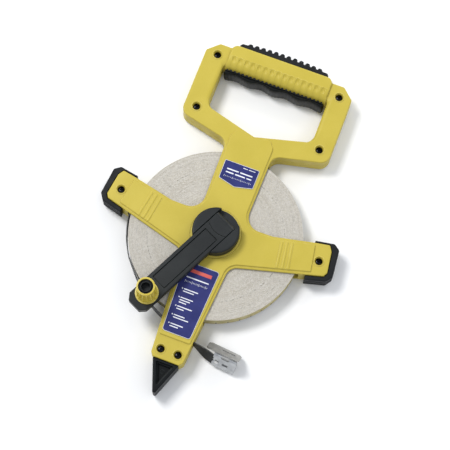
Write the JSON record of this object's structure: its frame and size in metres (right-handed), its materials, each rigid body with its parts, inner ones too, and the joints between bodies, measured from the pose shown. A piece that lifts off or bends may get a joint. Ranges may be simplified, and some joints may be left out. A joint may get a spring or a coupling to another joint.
{
  "type": "surveyor tape reel",
  "caption": "Open cross-frame reel for a long surveying tape, with a loop handle, folding winding crank, rubber bumpers, ground spike and a hinged steel end hook.",
  "frame": {"origin": "on the reel's axis, at the flat back of the frame", "axes": "+Z along the reel's axis towards the crank, +Y along the neck towards the handle, +X to the right"},
  "size_m": [0.2094, 0.3193, 0.055],
  "materials": {
    "yellow_plastic": "semi-gloss moulded ABS with a fine grain",
    "black_rubber": "matte moulded rubber",
    "black_plastic": "satin black moulded plastic",
    "plated_steel": "nickel-plated sheet and pins",
    "black_steel": "black oxide",
    "bush_brass": "turned",
    "tape_edge": "edges of wound fibreglass tape",
    "leader_strip": "satin black vinyl-coated strip",
    "blue_label": "printed vinyl sticker"
  },
  "bodies": {
    "root": {"front_frame": "yellow_plastic", "back_frame": "yellow_plastic", "palm_strip": "black_rubber", "finger_grip": "black_rubber", "bumper_left": "black_rubber", "bumper_right": "black_rubber", "ground_spike": "black_plastic", "frame_screw_1": "black_steel", "frame_screw_2": "black_steel", "frame_screw_3": "black_steel", "frame_screw_4": "black_steel", "frame_screw_5": "black_steel", "frame_screw_6": "black_steel", "frame_screw_7": "black_steel", "frame_screw_8": "black_steel", "thrust_washer": "plated_steel", "tape_leader": "leader_strip", "end_clip": "plated_steel", "leader_rivet": "plated_steel", "claw_pin": "plated_steel", "neck_label": "blue_label", "leg_label": "blue_label"},
    "reel": {"reel_drum": "black_plastic", "drum_bush": "bush_brass", "tape_coil": "tape_edge", "tape_anchor_peg": "plated_steel", "hub_cap": "black_plastic", "hub_screw": "plated_steel", "crank_pin": "plated_steel"},
    "crank": {"crank_arm": "black_plastic", "knob_post": "black_plastic", "knob_retainer": "black_steel"},
    "knob": {"grip_knob": "yellow_plastic"},
    "claw": {"hook_claw": "plated_steel"}
  },
  "joints": [
    {"name": "reel_spin", "type": "hinge", "parent": "root", "child": "reel", "pos_m": [0, 0, 0], "axis": [0, 0, 1], "continuous": true},
    {"name": "crank_fold", "type": "hinge", "parent": "reel", "child": "crank", "pos_m": [0.00398, 0.0083, 0.0282], "axis": [-0.9018, 0.4321, 0], "range_deg": [0, 165]},
    {"name": "knob_spin", "type": "hinge", "parent": "crank", "child": "knob", "pos_m": [-0.03396, -0.07088, 0.04], "axis": [0, 0, 1], "continuous": true},
    {"name": "claw_fold", "type": "hinge", "parent": "root", "child": "claw", "pos_m": [0.035, -0.0956, 0.017], "axis": [0.9962, -0.0872, 0], "range_deg": [-48, 100]}
  ]
}
